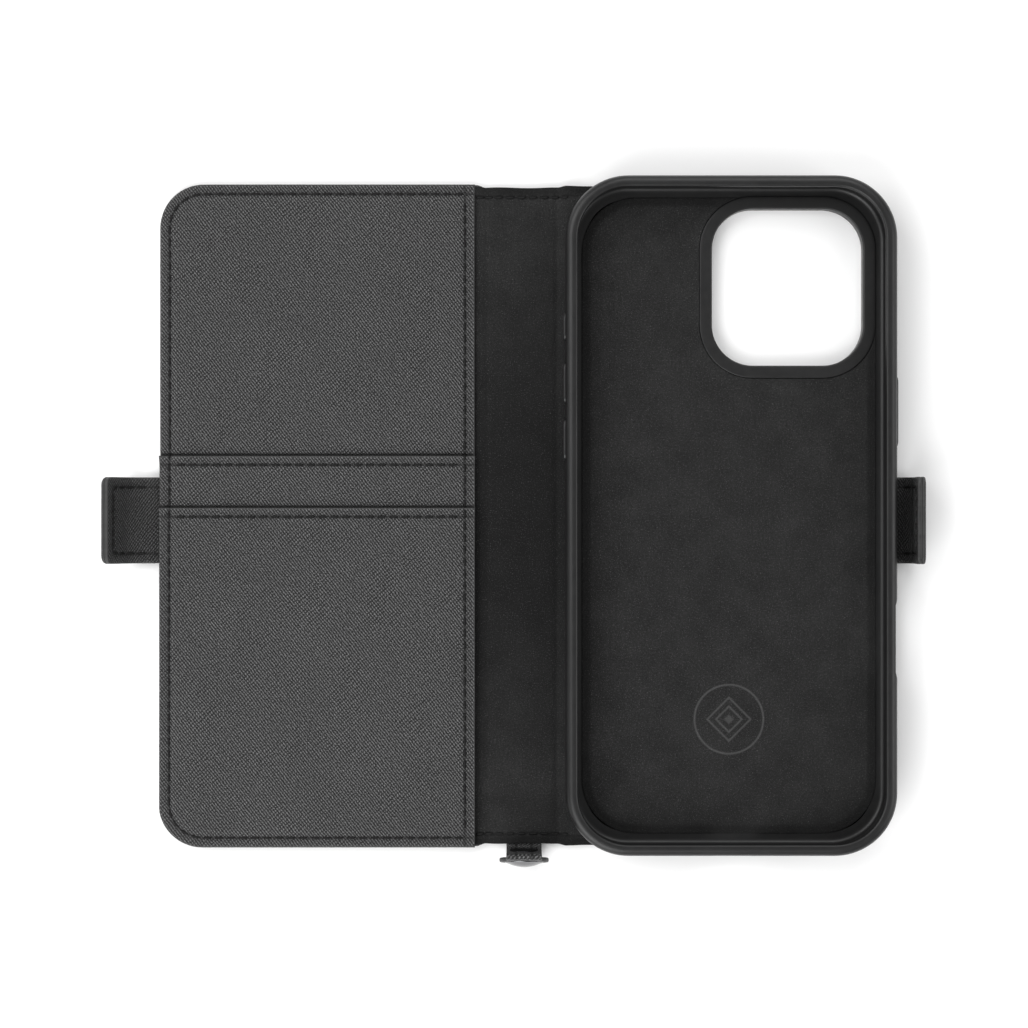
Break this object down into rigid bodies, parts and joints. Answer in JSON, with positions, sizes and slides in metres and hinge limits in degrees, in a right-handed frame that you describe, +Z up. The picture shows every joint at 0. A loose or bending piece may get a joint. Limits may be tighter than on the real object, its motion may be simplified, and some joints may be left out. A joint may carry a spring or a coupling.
{
  "type": "phone wallet case",
  "caption": "Folio phone case that opens flat: moulded phone tray, suede spine, front cover with card pockets, magnetic closing tabs and a snap loop.",
  "frame": {"origin": "on the table plane, on the underside of the back panel, below the centre of the phone shell", "axes": "+X from the spine towards the shell's free side with the case lying open, +Y towards the top of the phone, +Z up from the table"},
  "size_m": [0.204, 0.1721, 0.0143],
  "materials": {
    "cross_grain_leather": "black cross-hatched coated leather, satin",
    "suede_microfibre": "black suede microfibre, matt with a soft nap",
    "stiffener_board": "dark grey fibre board, hidden",
    "soft_shell_plastic": "black moulded soft plastic, fine satin",
    "key_plastic": "black, fine satin",
    "black_thread": "black waxed polyester thread",
    "magnet_steel": "plated magnet, hidden",
    "snap_metal": "dark polished gunmetal"
  },
  "bodies": {
    "back": {"back_skin": "cross_grain_leather", "back_board": "stiffener_board", "back_lining": "suede_microfibre", "shell_frame": "soft_shell_plastic", "shell_lining": "suede_microfibre"},
    "action_key": {"action_button": "key_plastic"},
    "volume_up_key": {"volume_up_button": "key_plastic"},
    "volume_down_key": {"volume_down_button": "key_plastic"},
    "side_key": {"side_button": "key_plastic"},
    "spine": {"spine_skin": "cross_grain_leather", "spine_lining": "suede_microfibre", "spine_stitching": "black_thread"},
    "front_cover": {"cover_skin": "cross_grain_leather", "cover_board": "stiffener_board", "cover_lining_strip": "suede_microfibre", "cover_panel": "cross_grain_leather", "card_pocket_upper": "cross_grain_leather", "card_pocket_lower": "cross_grain_leather", "cover_stitching": "black_thread", "panel_edge_stitching": "black_thread", "pocket_stitching_upper": "black_thread", "pocket_stitching_lower": "black_thread"},
    "front_tab": {"front_tab_outer": "cross_grain_leather", "front_tab_inner": "cross_grain_leather", "front_tab_magnet": "magnet_steel", "front_tab_stitching": "black_thread"},
    "rear_tab": {"rear_tab_outer": "cross_grain_leather", "rear_tab_inner": "cross_grain_leather", "rear_tab_magnet": "magnet_steel", "rear_tab_stitching": "black_thread"},
    "loop": {"loop_strap": "cross_grain_leather", "snap_stud": "snap_metal"},
    "loop_flap": {"loop_flap": "cross_grain_leather", "snap_socket": "snap_metal", "snap_cap": "snap_metal"}
  },
  "joints": [
    {"name": "spine_fold", "type": "hinge", "parent": "back", "child": "spine", "pos_m": [-0.043, 0, 0.0009], "axis": [0, 1, 0], "range_deg": [-90, 90]},
    {"name": "cover_fold", "type": "hinge", "parent": "spine", "child": "front_cover", "pos_m": [-0.0605, 0, 0.0009], "axis": [0, 1, 0], "range_deg": [-90, 90]},
    {"name": "front_tab_fold", "type": "hinge", "parent": "front_cover", "child": "front_tab", "pos_m": [-0.1439, -0.0012, 0.0011], "axis": [0, 1, 0], "range_deg": [-45, 15], "stiffness_Nm_per_rad": 0.006},
    {"name": "rear_tab_fold", "type": "hinge", "parent": "back", "child": "rear_tab", "pos_m": [0.0419, -0.0012, 0.0011], "axis": [0, -1, 0], "range_deg": [-70, 18], "stiffness_Nm_per_rad": 0.006},
    {"name": "loop_fold", "type": "hinge", "parent": "spine", "child": "loop", "pos_m": [-0.0512, -0.0833, 0.0009], "axis": [1, 0, 0], "range_deg": [0, 85], "stiffness_Nm_per_rad": 0.006},
    {"name": "loop_unsnap", "type": "hinge", "parent": "loop", "child": "loop_flap", "pos_m": [-0.0512, -0.084, 0.0136], "axis": [-1, 0, 0], "range_deg": [0, 100]},
    {"name": "action_press", "type": "slide", "parent": "back", "child": "action_key", "axis": [1, 0, 0], "range_m": [0, 0.0004], "stiffness_N_per_m": 2000},
    {"name": "volume_up_press", "type": "slide", "parent": "back", "child": "volume_up_key", "axis": [1, 0, 0], "range_m": [0, 0.0004], "stiffness_N_per_m": 2000},
    {"name": "volume_down_press", "type": "slide", "parent": "back", "child": "volume_down_key", "axis": [1, 0, 0], "range_m": [0, 0.0004], "stiffness_N_per_m": 2000},
    {"name": "side_press", "type": "slide", "parent": "back", "child": "side_key", "axis": [-1, 0, 0], "range_m": [0, 0.0004], "stiffness_N_per_m": 2000}
  ]
}
